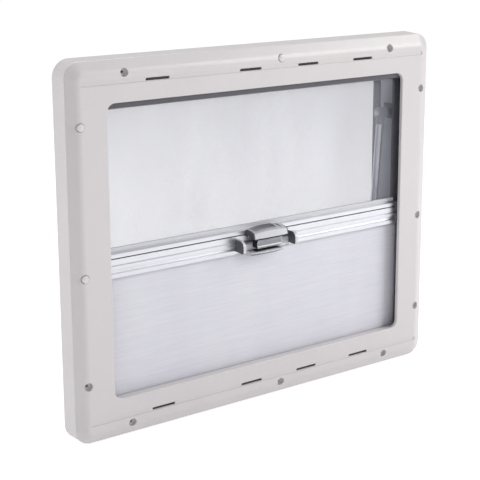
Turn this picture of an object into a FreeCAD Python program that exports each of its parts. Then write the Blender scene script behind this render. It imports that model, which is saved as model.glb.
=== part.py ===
import FreeCAD, Part
import math
import os
import re

import Sketcher

# Top-hung window for a vehicle or cabin wall, seen from the room: an interior frame that holds a
# roller fly screen (above) and a roller blind (below), an outer frame, and a double acrylic sash.
# X runs along the window, Z is up and Y points out of doors. The origin is the centre of the
# interior frame at the inner surface of the wall, so the room side is at negative Y.
# "Height off the wall" below means the distance towards the room, which is -Y.

doc = FreeCAD.newDocument("window_sash")

SIZES = {
    # interior frame
    "frame_width": 645,
    "frame_height": 540,
    "frame_depth": 40,
    "frame_corner": 25,
    "face_margin": 60.3,
    "opening_corner": 12,
    "side_depth": 31,
    "side_draft": 1.8,
    "bevel_run": 16.4,
    "shoulder_round": 2.2,
    "face_edge_round": 18,
    "skin": 3.2,
    "face_skin": 3.4,
    "rim_depth": 5,
    "rim_width": 4,
    "rim_round": 1.6,
    "groove_inset": 32,
    "groove_width": 5.8,
    "groove_deep": 1.2,
    "groove_end_margin": 19.5,
    "vent_length": 38,
    "vent_width": 3.8,
    "vent_outer_left": -183,
    "vent_inner_left": -28,
    "vent_inner_right": 76,
    "vent_outer_right": 181,
    # screw recesses
    "screw_inset": 19.9,
    "screw_row_margin": 87.5,
    "screw_row_middle": 26,
    "screw_column_margin": 88,
    "screw_column_middle": -26,
    "recess_radius": 6.1,
    "recess_deep": 7,
    "screw_hole_radius": 2.3,
    "boss_radius": 7.4,
    "boss_stand_off": 2,
    "cap_clearance": 0.7,
    "cap_wall": 0.9,
    "cap_proud": 0.5,
    "cap_crown": 1.1,
    "screw_radius": 2,
    "screw_head_radius": 3.9,
    "screw_head_height": 2.4,
    "screw_length": 48,
    # wall and outer frame
    "wall_thickness": 30,
    "cover_side": 32.5,
    "cover_top": 30,
    "cutout_clearance": 1.5,
    "cutout_corner": 26,
    "spigot_gap": 2,
    "seal_thickness": 1.5,
    "seal_inset": 2,
    "flange_overlap": 14.5,
    "flange_thickness": 5,
    "member_side": 6,
    "member_top": 45.5,
    "member_bottom": 25,
    "clear_corner": 14,
    # gasket and sash
    "gasket_inset": 2.5,
    "gasket_width": 6,
    "gasket_gap": 0.3,
    "sash_gap": 4,
    "sash_overlap": 9.5,
    "sheet_corner": 22,
    "inner_sheet": 3,
    "sheet_space": 11,
    "outer_sheet": 4,
    "outer_sheet_lip": 0.8,
    "spacer_width": 9,
    # hinge
    "hinge_above_clear": 31.5,
    "hinge_out": 10,
    "hinge_knuckle_radius": 4,
    "hinge_clearance": 0.3,
    "hinge_socket_wall": 2.9,
    "hinge_end_margin": 4,
    "hinge_web": 3,
    "clamp_height": 8.5,
    "clamp_wall": 1.5,
    "rail_plate": 2.5,
    "drip_reach": 26,
    # guide rails and cassettes
    "rail_from_opening": 6,
    "rail_width": 22,
    "rail_front_gap": 0.6,
    "rail_back": 10,
    "channel_front": 28.7,
    "channel_back": 14.3,
    "channel_deep": 15,
    "pile_proud": 1.6,
    "cassette_gap": 0.5,
    "screen_cassette_below": 7.6,
    "blind_cassette_beyond": 2.8,
    "cassette_height": 28.4,
    "cassette_front_gap": 0.4,
    "cassette_back": 0.8,
    "cassette_wall": 1.5,
    "cassette_cap": 3,
    "fabric_plane": 20,
    "fabric_slot": 4,
    "fabric_into_rail": 8,
    "mesh_thickness": 0.4,
    "blind_thickness": 0.5,
    "tube_radius": 6,
    "tube_wall": 0.9,
    "wound_radius": 7.8,
    "roller_end_gap": 9,
    "axle_radius": 2.4,
    "axle_clearance": 0.08,
    "plug_depth": 12,
    # end bars of the fly screen and the blind
    "bar_front": 28,
    "bar_back": 15,
    "bar_side_gap": 3.5,
    "screen_bar_top": 0,
    "screen_bar_height": 17.8,
    "screen_slot_width": 1.6,
    "screen_slot_deep": 3,
    "screen_slot_below_top": 8,
    "welt_height": 5.5,
    "bar_seam": 0.4,
    "blind_bar_height": 19.6,
    "front_rail_thickness": 6,
    "front_rail_end": 49.6,
    "rail_ridge": 6.2,
    "rail_ridge_deep": 1.6,
    "guide_length": 12,
    "guide_front_gap": 0.6,
    # latch
    "cheek_thickness": 4.4,
    "cheek_reach": 22,
    "cheek_top": -12.8,
    "cheek_height": 19,
    "housing_reach": 4,
    "grip_half_length": 29.5,
    "grip_reach": 24,
    "lever_half_length": 22,
    "lever_reach": 19,
    "flap_reach": 18,
    # stays
    "stay_from_reveal": 26,
    "stay_pivot_out": 5,
    "stay_pivot_below": 53.5,
    "stay_foot_out": 30,
    "stay_foot_above": 30,
    "stay_tube_radius": 6.5,
    "stay_tube_share": 0.6117,
    "stay_tube_start": 10,
    "stay_rod_radius": 4.4,
    "stay_rod_clearance": 0.1,
    "stay_rod_share": 0.6484,
    "stay_foot_radius": 7,
    "stay_foot_wall": 1.6,
    "stay_side_gap": 0.5,
    "stay_head_radius": 9,
    "stay_head_wall": 0.9,
    "stay_pin_radius": 3,
    "stay_pin_clearance": 0.08,
    "stay_bracket_width": 24,
    "collar_radius": 8.4,
    "collar_length": 20,
    # sash catches
    "catch_margin": 134,
    "catch_above_clear": 25,
    "catch_base_width": 44,
    "catch_base_height": 26,
    "catch_base_thickness": 7,
    "catch_lever_back": 9.5,
    "catch_lever_thickness": 6,
    "catch_lever_length": 19,
    "catch_lever_width": 12,
    "catch_spindle_radius": 4,
    "catch_clearance": 0.08,
    "keeper_height": 12,
    "keeper_width": 26,
    "keeper_gap": 1.5,
    "keeper_thickness": 5,
}

sheet = doc.addObject("Spreadsheet::Sheet", "size")
for row, (alias, number) in enumerate(SIZES.items(), start=1):
    sheet.set(f"A{row}", alias.replace("_", " "))
    sheet.set(f"B{row}", str(number))
    sheet.setAlias(f"B{row}", alias)
doc.recompute()


def formula(text):
    """The expression for a line of arithmetic on the names of the sheet's cells."""
    return re.sub(r"[a-z_]+", lambda word: f"size.{word[0]}" if word[0] in SIZES else word[0], text)


def value(text):
    """The number that a line of arithmetic on the sheet's cells comes to."""
    found = sheet.evalExpression(formula(text))
    return float(getattr(found, "Value", found))


def bind(thing, **sizes):
    for name, text in sizes.items():
        thing.setExpression(name, formula(text))


# Sizes that follow from the sheet, each written once.
OPEN_X = "(frame_width / 2 - face_margin)"
OPEN_Z = "(frame_height / 2 - face_margin)"
SCREW_X = "(frame_width / 2 - screw_inset)"
SCREW_Z = "(frame_height / 2 - screw_inset)"
ROW_SIDE = "(frame_width / 2 - screw_row_margin)"
COLUMN_SIDE = "(frame_height / 2 - screw_column_margin)"
GROOVE_Z = "(frame_height / 2 - groove_inset)"
RECESS_FLOOR = "(frame_depth - recess_deep)"
FLANGE_BACK = "(wall_thickness + seal_thickness)"
FLANGE_FRONT = f"({FLANGE_BACK} + flange_thickness)"
CUT_WIDTH = "(frame_width - 2 * cover_side)"
CUT_HEIGHT = "(frame_height - 2 * cover_top)"
CLEAR_X = f"({CUT_WIDTH} / 2 - member_side)"
CLEAR_TOP = f"({CUT_HEIGHT} / 2 - member_top)"
CLEAR_BOTTOM = f"({CUT_HEIGHT} / 2 - member_bottom)"
CLEAR_HEIGHT = f"({CLEAR_TOP} + {CLEAR_BOTTOM})"
CLEAR_MIDDLE = f"(({CLEAR_TOP} - {CLEAR_BOTTOM}) / 2)"
SASH_IN = f"({FLANGE_FRONT} + sash_gap)"
SPACER_IN = f"({SASH_IN} + inner_sheet)"
OUTER_IN = f"({SPACER_IN} + sheet_space)"
SASH_OUT = f"({OUTER_IN} + outer_sheet)"
SASH_X = f"({CLEAR_X} + sash_overlap)"
SASH_BOTTOM = f"(-{CLEAR_BOTTOM} - sash_overlap)"
HINGE_Z = f"({CLEAR_TOP} + hinge_above_clear)"
HINGE_Y = f"({FLANGE_FRONT} + hinge_out)"
SOCKET_RADIUS = "(hinge_knuckle_radius + hinge_clearance)"
SOCKET_OUTER = f"({SOCKET_RADIUS} + hinge_socket_wall)"
CLAMP_TOP = f"({HINGE_Z} - hinge_knuckle_radius - hinge_clearance - hinge_socket_wall - 5)"
SHEET_TOP = f"({CLAMP_TOP} - clamp_wall)"
HINGE_HALF = f"({SASH_X} - hinge_end_margin)"
RAIL_X = f"({OPEN_X} + rail_from_opening)"
CASSETTE_Z = {1: f"({OPEN_Z} - screen_cassette_below)", -1: f"({OPEN_Z} + blind_cassette_beyond)"}
CASSETTE_FRONT = "(frame_depth - rim_depth - cassette_front_gap)"
CASSETTE_X = f"({RAIL_X} + rail_width)"
RAIL_FRONT = "(frame_depth - rim_depth - rail_front_gap)"
RAIL_TOP, RAIL_LOW = f"({CASSETTE_Z[1]} - cassette_gap)", f"-({CASSETTE_Z[-1]} - cassette_gap)"
FABRIC_X = f"({RAIL_X} + fabric_into_rail)"
SCREEN_END, BLIND_END = f"({CASSETTE_Z[1]} + 6)", f"-({CASSETTE_Z[-1]} + 6)"
ROLLER_V = "(fabric_plane - wound_radius)"
ROLLER_Z = {side: f"({level} + cassette_height / 2)" for side, level in CASSETTE_Z.items()}
ROLLER_X = f"({CASSETTE_X} - cassette_cap - roller_end_gap)"
BAR_X = f"({RAIL_X} - bar_side_gap)"
SCREEN_BAR_BOTTOM = "(screen_bar_top - screen_bar_height)"
BLIND_BAR_TOP = f"({SCREEN_BAR_BOTTOM} - bar_seam)"
BLIND_BAR_BOTTOM = f"({BLIND_BAR_TOP} - blind_bar_height)"
BLIND_BAR_FRONT = "(bar_front - front_rail_thickness)"
CHEEK_TOP = "(cheek_top)"
CHEEK_FRONT = "(bar_front + cheek_reach)"
HOUSING_FRONT = "(bar_front + housing_reach)"
GRIP_FRONT = "(bar_front + grip_reach)"
LEVER_FRONT = "(bar_front + lever_reach)"
FLAP_FRONT = "(bar_front + flap_reach)"
CHEEK_BOTTOM = "(cheek_top - cheek_height)"
HOUSING_TOP = f"({BLIND_BAR_TOP} - 4)"
STAY_X = f"({CLEAR_X} - stay_from_reveal)"
HEAD_RADIUS = "(stay_tube_radius + stay_head_wall)"
HEAD_HALF = f"({HEAD_RADIUS} + stay_side_gap)"
NECK_RADIUS = "(stay_rod_radius + stay_foot_wall)"
FOOT_HALF = f"({NECK_RADIUS} + stay_side_gap)"
PIVOT_Z = f"({CLEAR_TOP} - stay_pivot_below)"
FOOT_Z = f"(-{CLEAR_BOTTOM} + stay_foot_above)"
STAY_DROP = f"({PIVOT_Z} - {FOOT_Z})"
STAY_LEAN = f"atan((stay_foot_out - stay_pivot_out) / {STAY_DROP})"
STAY_LENGTH = f"({STAY_DROP} / cos({STAY_LEAN}))"
TUBE_END = f"(stay_tube_start + stay_tube_share * {STAY_LENGTH})"
CATCH_X = f"({CLEAR_X} - catch_margin)"
CATCH_Z = f"(-{CLEAR_BOTTOM} + catch_above_clear)"


def new_body(label):
    body = doc.addObject("PartDesign::Body", label)
    body.Label = label
    return body


def sketch(body, name, role, lift="0"):
    """A sketch on one of the body's own origin planes, lifted along the plane's normal."""
    flat = body.newObject("Sketcher::SketchObject", name)
    plane = next(item for item in body.Origin.OriginFeatures if item.Role == role)
    flat.AttachmentSupport = [(plane, "")]
    flat.MapMode = "FlatFace"
    bind(flat, **{"AttachmentOffset.Base.z": lift})
    return flat


def pin_point(flat, geometry, end, name, x, y):
    """Fix a point of a sketch at two expressions."""
    for axis, text in (("X", x), ("Y", y)):
        place = Sketcher.Constraint("Distance" + axis, -1, 1, geometry, end, value(text))
        flat.addConstraint(place)
        flat.renameConstraint(flat.ConstraintCount - 1, f"{name}_{axis.lower()}")
        bind(flat, **{f"Constraints.{name}_{axis.lower()}": text})


def polygon(flat, corners):
    """A closed outline of straight runs, each corner fixed by two expressions."""
    points = [FreeCAD.Vector(value(x), value(y), 0) for x, y in corners]
    first = flat.GeometryCount
    count = len(points)
    for i, point in enumerate(points):
        flat.addGeometry(Part.LineSegment(point, points[(i + 1) % count]), False)
    for i in range(count):
        after = first + (i + 1) % count
        flat.addConstraint(Sketcher.Constraint("Coincident", first + i, 2, after, 1))
    for i, (x, y) in enumerate(corners):
        pin_point(flat, first + i, 1, f"p{first + i}", x, y)


def rounded_rectangle(flat, width, height, corner, centre_x="0", centre_z="0"):
    """A rectangle with round corners about a centre."""
    half_x, half_z, radius = value(width) / 2, value(height) / 2, value(corner)
    middle = FreeCAD.Vector(value(centre_x), value(centre_z), 0)
    signs = [(1, 1), (-1, 1), (-1, -1), (1, -1)]
    first = flat.GeometryCount
    arcs, quarter = [], math.pi / 2
    for i, (sx, sz) in enumerate(signs):
        centre = middle + FreeCAD.Vector(sx * (half_x - radius), sz * (half_z - radius), 0)
        circle = Part.Circle(centre, FreeCAD.Vector(0, 0, 1), radius)
        arcs.append(Part.ArcOfCircle(circle, i * quarter, (i + 1) * quarter))
    for i, arc in enumerate(arcs):
        flat.addGeometry(arc, False)
        flat.addGeometry(Part.LineSegment(arc.EndPoint, arcs[(i + 1) % 4].StartPoint), False)
    for i, (sx, sz) in enumerate(signs):
        arc, line, after = first + 2 * i, first + 2 * i + 1, first + (2 * i + 2) % 8
        flat.addConstraint(Sketcher.Constraint("Tangent", arc, 2, line, 1))
        flat.addConstraint(Sketcher.Constraint("Tangent", line, 2, after, 1))
        flat.addConstraint(Sketcher.Constraint("Radius", arc, radius))
        flat.renameConstraint(flat.ConstraintCount - 1, f"r{arc}")
        bind(flat, **{f"Constraints.r{arc}": corner})
        x = f"{centre_x} + {sx} * (({width}) / 2 - ({corner}))"
        z = f"{centre_z} + {sz} * (({height}) / 2 - ({corner}))"
        pin_point(flat, arc, 3, f"c{arc}", x, z)


def circle(flat, radius, x, y):
    centre = FreeCAD.Vector(value(x), value(y), 0)
    flat.addGeometry(Part.Circle(centre, FreeCAD.Vector(0, 0, 1), value(radius)), False)
    number = flat.GeometryCount - 1
    flat.addConstraint(Sketcher.Constraint("Radius", number, value(radius)))
    flat.renameConstraint(flat.ConstraintCount - 1, f"r{number}")
    bind(flat, **{f"Constraints.r{number}": radius})
    pin_point(flat, number, 3, f"c{number}", x, y)


def pad(body, flat, length):
    feature = body.newObject("PartDesign::Pad", flat.Name + "_pad")
    feature.Profile = flat
    bind(feature, Length=length)
    flat.Visibility = False
    return feature


def pocket(body, flat, length, towards_normal=False):
    """A cut from the sketch, by default against the sketch's normal."""
    doc.recompute()
    before = body.Shape.Volume
    feature = body.newObject("PartDesign::Pocket", flat.Name + "_pocket")
    feature.Profile = flat
    feature.Reversed = towards_normal
    bind(feature, Length=length)
    doc.recompute()
    if body.Shape.Volume >= before:
        raise RuntimeError(f"{feature.Name} cuts nothing")
    return feature


def round_edges(body, name, radius, chosen):
    """A fillet on the edges of the body's last feature that a test picks by their middle and box."""
    doc.recompute()
    base = body.Tip
    edges = [f"Edge{i + 1}" for i, edge in enumerate(base.Shape.Edges) if chosen(edge)]
    feature = body.newObject("PartDesign::Fillet", name)
    feature.Base = (base, edges)
    bind(feature, Radius=radius)
    doc.recompute()
    return feature


def along_x(edge):
    box = edge.BoundBox
    return box.XLength > 1 and box.YLength < 0.01 and box.ZLength < 0.01


def at_height(edge, v):
    box = edge.BoundBox
    return abs(box.YMin + v) < 0.01 and abs(box.YMax + v) < 0.01


def box(name, x, y, z):
    """A block from three pairs of expressions: where it begins and where it ends on each axis."""
    block = doc.addObject("Part::Box", name)
    bind(block, Length=f"({x[1]}) - ({x[0]})", Width=f"({y[1]}) - ({y[0]})")
    bind(block, Height=f"({z[1]}) - ({z[0]})")
    bind(block, **{"Placement.Base.x": x[0], "Placement.Base.y": y[0], "Placement.Base.z": z[0]})
    return block


TURN = {"X": ((0, 1, 0), 90), "Y": ((1, 0, 0), -90), "Z": ((0, 0, 1), 0)}


def rod(name, axis, radius, length, start):
    """A round bar along an axis, from its start point."""
    bar = doc.addObject("Part::Cylinder", name)
    direction, angle = TURN[axis]
    turn = FreeCAD.Rotation(FreeCAD.Vector(*direction), angle)
    bar.Placement = FreeCAD.Placement(FreeCAD.Vector(), turn)
    bind(bar, Radius=radius, Height=length)
    bind(bar, **{f"Placement.Base.{a}": text for a, text in zip("xyz", start)})
    return bar


def cut(name, base, *tools):
    result = base
    for i, tool in enumerate(tools):
        step = doc.addObject("Part::Cut", f"{name}_cut{i}")
        step.Base = result
        step.Tool = tool
        result = step
    result.Label = name
    return result


def fuse(name, *pieces):
    whole = doc.addObject("Part::MultiFuse", name)
    whole.Shapes = list(pieces)
    whole.Refine = True
    whole.Label = name
    return whole


def group(name, pieces):
    """Identical separate solids that share one node."""
    whole = doc.addObject("Part::Compound", name)
    whole.Links = pieces
    whole.Label = name
    return whole


def extrusion_x(name, corners, half_length, centre="0"):
    """A straight profile along X; the outline is given as pairs of Y and Z."""
    body = new_body(name)
    flat = sketch(body, name + "_outline", "YZ_Plane", f"({centre}) - ({half_length})")
    polygon(flat, corners)
    pad(body, flat, f"2 * ({half_length})")
    return body


def rectangle_yz(front, back, low, high):
    """The corners of a rectangle between two heights off the wall and two levels."""
    left, right = f"-({front})", f"-({back})"
    return [(left, low), (right, low), (right, high), (left, high)]


def turned(name, profile, place, facing):
    """A turned piece: an outline of radius and length, spun about its own Z and put in place."""
    body = new_body(name)
    flat = sketch(body, name + "_outline", "XZ_Plane")
    polygon(flat, profile)
    spin = body.newObject("PartDesign::Revolution", name + "_spin")
    spin.Profile = flat
    spin.ReferenceAxis = (flat, ["V_Axis"])
    spin.Angle = 360
    direction, angle = facing
    turn = FreeCAD.Rotation(FreeCAD.Vector(*direction), angle)
    body.Placement = FreeCAD.Placement(FreeCAD.Vector(), turn)
    bind(body, **{f"Placement.Base.{a}": text for a, text in zip("xyz", place)})
    return body


TO_ROOM = ((1, 0, 0), 90)

# ---------------------------------------------------------------- interior frame

SCREW_PLACES = [
    (x, f"{side} * {SCREW_Z}")
    for side in (1, -1)
    for x in (f"-{ROW_SIDE}", "screw_row_middle", ROW_SIDE)
] + [
    (f"{side} * {SCREW_X}", z)
    for side in (-1, 1)
    for z in (COLUMN_SIDE, "screw_column_middle", f"-{COLUMN_SIDE} + 1")
]
CAPPED = [SCREW_PLACES[1], SCREW_PLACES[6], SCREW_PLACES[7]]


def inner_frame():
    """One hollow moulding: leaning side walls, a bevelled rim, a flat face and a rimmed opening."""
    body = new_body("inner_frame")
    outlines = []
    rises = [
        ("foot", "0", "0"),
        ("shoulder", "side_depth", "side_draft"),
        ("face", "frame_depth", "(side_draft + bevel_run)"),
    ]
    for name, lift, inset in rises:
        flat = sketch(body, name, "XZ_Plane", lift)
        size = [f"frame_width - 2 * {inset}", f"frame_height - 2 * {inset}"]
        rounded_rectangle(flat, *size, f"frame_corner - {inset}")
        outlines.append(flat)
    rim = body.newObject("PartDesign::AdditiveLoft", "rim")
    rim.Profile = outlines[0]
    rim.Sections = outlines[1:]
    rim.Ruled = True
    side, top = value("side_depth"), value("frame_depth")
    round_edges(body, "shoulder_edge", "shoulder_round", lambda e: at_height(e, side))
    round_edges(body, "face_edge", "face_edge_round", lambda e: at_height(e, top))

    hollow = sketch(body, "hollow", "XZ_Plane")
    inset = "(skin + side_draft)"
    size = [f"frame_width - 2 * {inset}", f"frame_height - 2 * {inset}"]
    rounded_rectangle(hollow, *size, f"frame_corner - {inset}")
    pocket(body, hollow, "side_depth - skin", True)
    inner = "(side_draft + bevel_run + skin)"
    size = [f"frame_width - 2 * {inner}", f"frame_height - 2 * {inner}"]
    deep = sketch(body, "deep_hollow", "XZ_Plane")
    rounded_rectangle(deep, *size, f"frame_corner - {inner}")
    pocket(body, deep, "frame_depth - rim_depth", True)
    ring = sketch(body, "face_back", "XZ_Plane")
    rounded_rectangle(ring, *size, f"frame_corner - {inner}")
    rim_size = [f"2 * ({OPEN_X} + rim_width)", f"2 * ({OPEN_Z} + rim_width)"]
    rounded_rectangle(ring, *rim_size, "opening_corner + rim_width")
    pocket(body, ring, "frame_depth - face_skin", True)

    opening = sketch(body, "opening", "XZ_Plane", "frame_depth")
    rounded_rectangle(opening, f"2 * {OPEN_X}", f"2 * {OPEN_Z}", "opening_corner")
    pocket(body, opening, "frame_depth")
    reach_x, reach_z = value(OPEN_X), value(OPEN_Z)

    def opening_edge(edge):
        far = edge.BoundBox
        inside = max(abs(far.XMin), abs(far.XMax)) < reach_x + 0.1
        return at_height(edge, top) and inside and max(abs(far.ZMin), abs(far.ZMax)) < reach_z + 0.1

    round_edges(body, "opening_lip", "rim_round", opening_edge)

    bosses = sketch(body, "bosses", "XZ_Plane", "boss_stand_off")
    recesses = sketch(body, "recesses", "XZ_Plane", "frame_depth")
    holes = sketch(body, "screw_holes", "XZ_Plane", "frame_depth")
    for x, z in SCREW_PLACES:
        circle(bosses, "boss_radius", x, z)
        circle(recesses, "recess_radius", x, z)
        circle(holes, "screw_hole_radius", x, z)
    pad(body, bosses, "frame_depth - face_skin + 0.2 - boss_stand_off")
    pocket(body, recesses, "recess_deep")
    pocket(body, holes, "frame_depth")

    grooves = sketch(body, "grooves", "XZ_Plane", "frame_depth")
    vents = sketch(body, "vents", "XZ_Plane", "frame_depth")
    for side in (1, -1):
        length = "frame_width - 2 * groove_end_margin"
        height = f"{side} * {GROOVE_Z}"
        rounded_rectangle(grooves, length, "groove_width", "0.45 * groove_width", "0", height)
        for x in ("vent_outer_left", "vent_inner_left", "vent_inner_right", "vent_outer_right"):
            rounded_rectangle(vents, "vent_length", "vent_width", "0.45 * vent_width", x, height)
    pocket(body, grooves, "groove_deep")
    pocket(body, vents, "face_skin + 1")
    return body


def screw_caps():
    """Shallow domed cups pressed into three of the recesses."""
    outer, inner = "(recess_radius - cap_clearance)", "(recess_radius - cap_clearance - cap_wall)"
    top, crown = "(recess_deep + cap_proud)", "(recess_deep + cap_proud + cap_crown)"
    profile = [
        ("0", f"{top} - cap_wall"),
        (inner, f"{top} - cap_wall"),
        (inner, "0"),
        (outer, "0"),
        (outer, top),
        (f"0.82 * {outer}", f"{top} + 0.55 * cap_crown"),
        (f"0.5 * {outer}", f"{top} + 0.9 * cap_crown"),
        ("0", crown),
    ]
    caps = [
        turned(f"cap_{i}", profile, (x, f"-{RECESS_FLOOR}", z), TO_ROOM)
        for i, (x, z) in enumerate(CAPPED)
    ]
    return group("screw_caps", caps)


def frame_screws():
    """Pan-head wood screws under the caps, through the frame into the wall."""
    profile = [
        ("0", "-screw_length"),
        ("screw_radius", "-screw_length + 2 * screw_radius"),
        ("screw_radius", "0"),
        ("screw_head_radius", "0"),
        ("screw_head_radius", "0.5 * screw_head_height"),
        ("0.7 * screw_head_radius", "screw_head_height"),
        ("0", "screw_head_height"),
    ]
    screws = [
        turned(f"screw_{i}", profile, (x, f"-{RECESS_FLOOR}", z), TO_ROOM)
        for i, (x, z) in enumerate(CAPPED)
    ]
    return group("frame_screws", screws)


# ---------------------------------------------------------------- outer frame and its seals


def ring_body(name, lift, length, outer, inner, outer_mid="0", inner_mid="0"):
    """A flat ring between two round-cornered rectangles, padded against Y."""
    body = new_body(name)
    flat = sketch(body, name + "_ring", "XZ_Plane", lift)
    rounded_rectangle(flat, *outer, "0", outer_mid)
    rounded_rectangle(flat, *inner, "0", inner_mid)
    pad(body, flat, length)
    return body


CLEAR_OPENING = (f"2 * {CLEAR_X}", CLEAR_HEIGHT, "clear_corner")


def grown(by):
    """The clear opening's outline, grown all round."""
    return (f"2 * ({CLEAR_X} + {by})", f"{CLEAR_HEIGHT} + 2 * ({by})", f"clear_corner + {by}")


def outer_frame():
    """A spigot that lines the cut-out and a flange that covers its edge outside."""
    fit = "cutout_clearance"
    spigot = (f"{CUT_WIDTH} - 2 * {fit}", f"{CUT_HEIGHT} - 2 * {fit}", f"cutout_corner - {fit}")
    body = ring_body(
        "outer_frame",
        f"-{FLANGE_FRONT}",
        f"{FLANGE_FRONT} - spigot_gap",
        spigot,
        CLEAR_OPENING,
        inner_mid=CLEAR_MIDDLE,
    )
    over = "flange_overlap"
    flange = sketch(body, "flange", "XZ_Plane", f"-{FLANGE_FRONT}")
    size = [f"{CUT_WIDTH} + 2 * {over}", f"{CUT_HEIGHT} + 2 * {over}", f"cutout_corner + {over}"]
    rounded_rectangle(flange, *size)
    rounded_rectangle(flange, *CLEAR_OPENING, "0", CLEAR_MIDDLE)
    pad(body, flange, "flange_thickness")
    far, wide = value(FLANGE_FRONT), value(f"{CUT_WIDTH} / 2 + flange_overlap")

    def flange_rim(edge):
        return at_height(edge, -far) and edge.BoundBox.Center.Length > wide * 0.75

    round_edges(body, "flange_rim", "0.4 * flange_thickness", flange_rim)
    return body


def wall_seal():
    """Sealing tape between the outer flange and the wall."""
    outer = "(flange_overlap - seal_inset)"
    inner = "2"
    rings = [
        (f"{CUT_WIDTH} + 2 * {by}", f"{CUT_HEIGHT} + 2 * {by}", f"cutout_corner + {by}")
        for by in (outer, inner)
    ]
    return ring_body("wall_seal", f"-{FLANGE_BACK}", "seal_thickness", *rings)


def sash_gasket():
    """Rubber ring on the outer frame that the closed sash rests against."""
    middles = {"outer_mid": CLEAR_MIDDLE, "inner_mid": CLEAR_MIDDLE}
    outer, inner = grown("(gasket_inset + gasket_width)"), grown("gasket_inset")
    lift = f"-({SASH_IN} - gasket_gap)"
    return ring_body("sash_gasket", lift, "sash_gap - gasket_gap", outer, inner, **middles)


# ---------------------------------------------------------------- sash


def sheet_body(name, inside, thickness, side, bottom):
    """One acrylic sheet between its bottom edge and the hinge clamp."""
    body = new_body(name)
    flat = sketch(body, name + "_outline", "XZ_Plane", f"-({inside} + {thickness})")
    height = f"({SHEET_TOP} - ({bottom}))"
    middle = f"(({SHEET_TOP} + ({bottom})) / 2)"
    rounded_rectangle(flat, f"2 * ({side})", height, "sheet_corner", "0", middle)
    pad(body, flat, thickness)
    return body


def pane_inner():
    return sheet_body("pane_inner", SASH_IN, "inner_sheet", SASH_X, SASH_BOTTOM)


def pane_outer():
    side = f"{SASH_X} + outer_sheet_lip"
    bottom = f"{SASH_BOTTOM} - outer_sheet_lip"
    return sheet_body("pane_outer", OUTER_IN, "outer_sheet", side, bottom)


def pane_spacer():
    """Bonded strip that holds the two sheets apart all round."""
    height = f"({SHEET_TOP} - ({SASH_BOTTOM}))"
    middle = f"(({SHEET_TOP} + ({SASH_BOTTOM})) / 2)"
    outer = (f"2 * {SASH_X}", height, "sheet_corner")
    inset = "spacer_width"
    inner = (f"2 * ({SASH_X} - {inset})", f"{height} - 2 * {inset}", f"sheet_corner - {inset}")
    middles = {"outer_mid": middle, "inner_mid": middle}
    return ring_body("pane_spacer", f"-{OUTER_IN}", "sheet_space", outer, inner, **middles)


def sash_hinge_profile():
    """Extrusion clamped over the top edge of the sheets, with the hinge knuckle above it."""
    low, high = f"({CLAMP_TOP} - clamp_height)", CLAMP_TOP
    out, near = f"-({SASH_OUT} + clamp_wall)", f"-({SASH_IN} - clamp_wall)"
    clamp = extrusion_x("clamp_outside", rectangle_yz(near, out, low, high), HINGE_HALF)
    mouth_box = rectangle_yz(f"-{SASH_IN}", f"-{SASH_OUT}", f"{low} - 1", SHEET_TOP)
    mouth = extrusion_x("clamp_mouth", mouth_box, f"{HINGE_HALF} + 1")
    half = "hinge_web / 2"
    web_box = rectangle_yz(
        f"-({HINGE_Y} - {half})", f"-({HINGE_Y} + {half})", f"{high} - 0.5", HINGE_Z
    )
    web = extrusion_x("hinge_web_strip", web_box, HINGE_HALF)
    start = (f"-{HINGE_HALF}", HINGE_Y, HINGE_Z)
    knuckle = rod("hinge_knuckle", "X", "hinge_knuckle_radius", f"2 * {HINGE_HALF}", start)
    return fuse("sash_hinge_profile", cut("clamp", clamp, mouth), web, knuckle)


def hinge_rail():
    """Extrusion on the outer frame: a socket round the knuckle and a drip lip above it."""
    half = f"({HINGE_HALF} - 1)"
    start = (f"-{half}", HINGE_Y, HINGE_Z)
    ring = rod("hinge_socket", "X", SOCKET_OUTER, f"2 * {half}", start)
    plate_top = f"({HINGE_Z} + {SOCKET_OUTER} + 4)"
    plate_low = f"({HINGE_Z} - 2)"
    plate = rectangle_yz(f"-{FLANGE_FRONT}", f"-({FLANGE_FRONT} + rail_plate)", plate_low, plate_top)
    lip_low = f"({plate_top} - rail_plate)"
    lip = rectangle_yz(f"-{FLANGE_FRONT}", f"-({FLANGE_FRONT} + drip_reach)", lip_low, plate_top)
    bridge = rectangle_yz(f"-{FLANGE_FRONT}", f"-{HINGE_Y}", f"({HINGE_Z} + 2)", lip_low)
    strips = [
        extrusion_x(f"hinge_rail_{name}", shape, half)
        for name, shape in (("plate", plate), ("lip", lip), ("bridge", bridge))
    ]
    long_start = (f"-{half} - 1", HINGE_Y, HINGE_Z)
    bore = rod("hinge_bore", "X", SOCKET_RADIUS, f"2 * {half} + 2", long_start)
    # the mouth is a wedge from straight down to past the widest opening angle
    reach = f"1.6 * {SOCKET_OUTER}"
    mouth = [
        (HINGE_Y, HINGE_Z),
        (f"{HINGE_Y} - 0.55 * {reach}", f"{HINGE_Z} - {reach}"),
        (f"{HINGE_Y} + {reach}", f"{HINGE_Z} - {reach}"),
        (f"{HINGE_Y} + {reach}", f"{HINGE_Z} - 0.23 * {reach}"),
    ]
    wedge = extrusion_x("hinge_mouth", mouth, f"{half} + 1")
    return cut("hinge_rail", fuse("hinge_rail_whole", ring, *strips), bore, wedge)


# ---------------------------------------------------------------- guide rails and cassettes


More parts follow.
